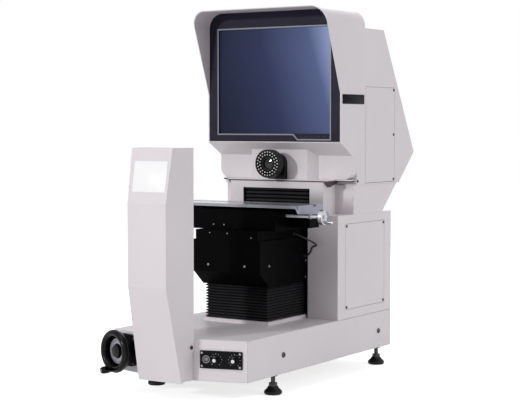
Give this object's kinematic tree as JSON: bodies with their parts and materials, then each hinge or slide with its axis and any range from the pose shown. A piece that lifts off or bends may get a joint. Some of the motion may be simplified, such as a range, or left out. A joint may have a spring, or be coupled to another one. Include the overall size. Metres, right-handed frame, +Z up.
{
  "type": "optical comparator",
  "caption": "Horizontal digital optical comparator with hooded screen, side lens, light tower, lifting carriage and cranked cross table on a swept cast base",
  "frame": {"origin": "On the floor under the middle of the outline", "axes": "X across the table, Y from the light tower back to the head, Z up"},
  "size_m": [0.5063, 1.045, 1.04],
  "materials": {
    "paint_base": "off-white enamel on the castings",
    "paint_sheet": "off-white enamel on sheet steel",
    "paint_alloy": "off-white enamel on an alloy block",
    "dark_sheet": "dark gray paint",
    "rubber": "matt black rubber",
    "steel": "bright machined steel",
    "screw_dark": "zinc plated steel",
    "cast": "bare casting",
    "bellows": "coated black cloth",
    "dark_plastic": "dark gray plastic",
    "silver_trim": "satin silver",
    "screen": "glossy dark blue screen",
    "black_alloy": "black anodised",
    "glass": "coated lens glass",
    "black_plastic": "black plastic",
    "alloy": "blue-gray anodised plate",
    "chrome": "polished",
    "brass": "bronze nut",
    "cable": "black cable sheath"
  },
  "bodies": {
    "machine": {"base_frame": "paint_base", "base_plate": "dark_sheet", "foot_pads": "rubber", "foot_hardware": "steel", "casing_screws": "screw_dark", "cabinet_shell": "paint_sheet", "cabinet_side_panels": "paint_sheet", "rear_door": "paint_sheet", "column": "cast", "neck_housing": "paint_sheet", "guide_cover": "paint_sheet", "guide_rails": "steel", "head_shell": "paint_sheet", "head_side_panels": "paint_sheet", "lens_shroud": "paint_sheet", "head_base_plate": "dark_sheet", "monitor_bezel": "dark_plastic", "trim_frame": "silver_trim", "screen_panel": "screen", "lens_block": "paint_alloy", "lens_barrel": "black_alloy", "lens_mount": "black_alloy", "objective_glass": "glass", "ring_light": "black_plastic", "camera": "black_alloy", "tower_frame": "paint_base", "tower_cover": "paint_sheet", "collimator": "black_alloy", "collimator_lens": "glass", "lamp_module": "alloy", "control_panel": "black_plastic", "panel_socket": "chrome", "lift_gearbox": "cast", "wheel_flange": "black_alloy"},
    "lift": {"carriage_body": "black_alloy", "lift_nut": "brass", "guide_blocks": "steel", "bellows": "bellows", "upper_bellows": "bellows", "saddle": "black_alloy", "encoder_cable": "cable", "cable_glands": "black_plastic"},
    "cross_slide": {"table": "alloy", "table_beam": "black_alloy", "table_end_plate": "alloy"},
    "x_crank": {"x_leadscrew": "steel", "x_handwheel": "chrome"},
    "x_handle": {"x_crank_handle": "chrome"},
    "lift_wheel": {"lift_handwheel": "black_plastic", "lift_shaft": "steel", "dial_ring": "silver_trim"},
    "lift_handle": {"lift_crank_handle": "black_plastic"},
    "lift_screw": {"lift_screw": "steel"},
    "knob_left": {"knob_contour": "black_plastic"},
    "knob_right": {"knob_surface": "black_plastic"},
    "key_1": {"button_1": "black_plastic"},
    "key_2": {"button_2": "black_plastic"},
    "key_3": {"button_3": "black_plastic"},
    "key_4": {"button_4": "black_plastic"},
    "key_5": {"button_5": "black_plastic"}
  },
  "joints": [
    {"name": "lift_slide", "type": "slide", "parent": "machine", "child": "lift", "axis": [0, 0, 1], "range_m": [-0.045, 0.055], "deforming": ["bellows", "upper_bellows"]},
    {"name": "cross_feed", "type": "slide", "parent": "lift", "child": "cross_slide", "axis": [1, 0, 0], "range_m": [-0.055, 0.055]},
    {"name": "cross_crank_turn", "type": "hinge", "parent": "cross_slide", "child": "x_crank", "pos_m": [0.2176, -0.0725, 0.465], "axis": [1, 0, 0], "range_deg": [-4320, 4320]},
    {"name": "cross_grip_spin", "type": "hinge", "parent": "x_crank", "child": "x_handle", "pos_m": [0.2416, -0.06875, 0.45099], "axis": [1, 0, 0], "continuous": true},
    {"name": "lift_wheel_turn", "type": "hinge", "parent": "machine", "child": "lift_wheel", "pos_m": [-0.19277, -0.44762, 0.116], "axis": [-0.2756, -0.9613, 0], "range_deg": [-4000, 4000]},
    {"name": "lift_grip_spin", "type": "hinge", "parent": "lift_wheel", "child": "lift_handle", "pos_m": [-0.20581, -0.46885, 0.06847], "axis": [-0.2756, -0.9613, 0], "continuous": true},
    {"name": "lift_screw_turn", "type": "hinge", "parent": "machine", "child": "lift_screw", "pos_m": [-0.0284, -0.0195, 0.2], "axis": [0, 0, 1], "range_deg": [-4000, 4000]},
    {"name": "knob_left_turn", "type": "hinge", "parent": "machine", "child": "knob_left", "pos_m": [0.10853, -0.41596, 0.1145], "axis": [0.2756, -0.9613, 0], "range_deg": [-140, 140]},
    {"name": "knob_right_turn", "type": "hinge", "parent": "machine", "child": "knob_right", "pos_m": [0.15659, -0.40218, 0.1145], "axis": [0.2756, -0.9613, 0], "range_deg": [-140, 140]},
    {"name": "key_1_press", "type": "slide", "parent": "machine", "child": "key_1", "axis": [0, 1, 0], "range_m": [0, 0.0008], "stiffness_N_per_m": 800, "springref_m": -0.0005},
    {"name": "key_2_press", "type": "slide", "parent": "machine", "child": "key_2", "axis": [0, 1, 0], "range_m": [0, 0.0008], "stiffness_N_per_m": 800, "springref_m": -0.0005},
    {"name": "key_3_press", "type": "slide", "parent": "machine", "child": "key_3", "axis": [0, 1, 0], "range_m": [0, 0.0008], "stiffness_N_per_m": 800, "springref_m": -0.0005},
    {"name": "key_4_press", "type": "slide", "parent": "machine", "child": "key_4", "axis": [0, 1, 0], "range_m": [0, 0.0008], "stiffness_N_per_m": 800, "springref_m": -0.0005},
    {"name": "key_5_press", "type": "slide", "parent": "machine", "child": "key_5", "axis": [0, 1, 0], "range_m": [0, 0.0008], "stiffness_N_per_m": 800, "springref_m": -0.0005}
  ],
  "couplings": [
    {"joint": "lift_wheel_turn", "follows": "lift_slide", "rad_per_m": 1256.6},
    {"joint": "lift_screw_turn", "follows": "lift_slide", "rad_per_m": 1256.6},
    {"joint": "cross_crank_turn", "follows": "cross_feed", "rad_per_m": 1256.6}
  ]
}
